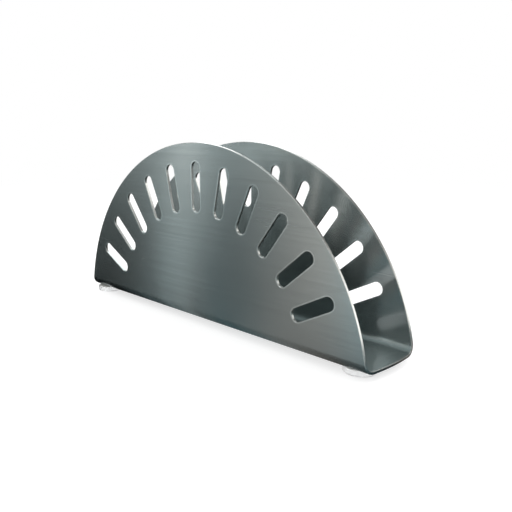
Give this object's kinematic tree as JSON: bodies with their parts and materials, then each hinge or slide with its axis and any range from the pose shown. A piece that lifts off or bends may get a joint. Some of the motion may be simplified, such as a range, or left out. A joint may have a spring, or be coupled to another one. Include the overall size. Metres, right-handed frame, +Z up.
{
  "type": "napkin holder",
  "caption": "Semicircular napkin holder: a slotted round metal sheet folded into a U, standing on small round stick-on feet.",
  "frame": {"origin": "middle of the footprint, on the surface that the feet stand on", "axes": "+X along the holder to the right, +Y across it towards the back wall, +Z up"},
  "size_m": [0.18, 0.0314, 0.0798],
  "materials": {
    "satin_steel": "satin, brushed along the length",
    "clear_bumper": "clear, slightly cloudy",
    "adhesive_film": "matte film"
  },
  "bodies": {
    "root": {"folded_sheet": "satin_steel", "foot_front_right": "clear_bumper", "foot_back_right": "clear_bumper", "foot_front_left": "clear_bumper", "foot_back_left": "clear_bumper", "adhesive_foot_front_right": "adhesive_film", "adhesive_foot_back_right": "adhesive_film", "adhesive_foot_front_left": "adhesive_film", "adhesive_foot_back_left": "adhesive_film"}
  },
  "joints": []
}
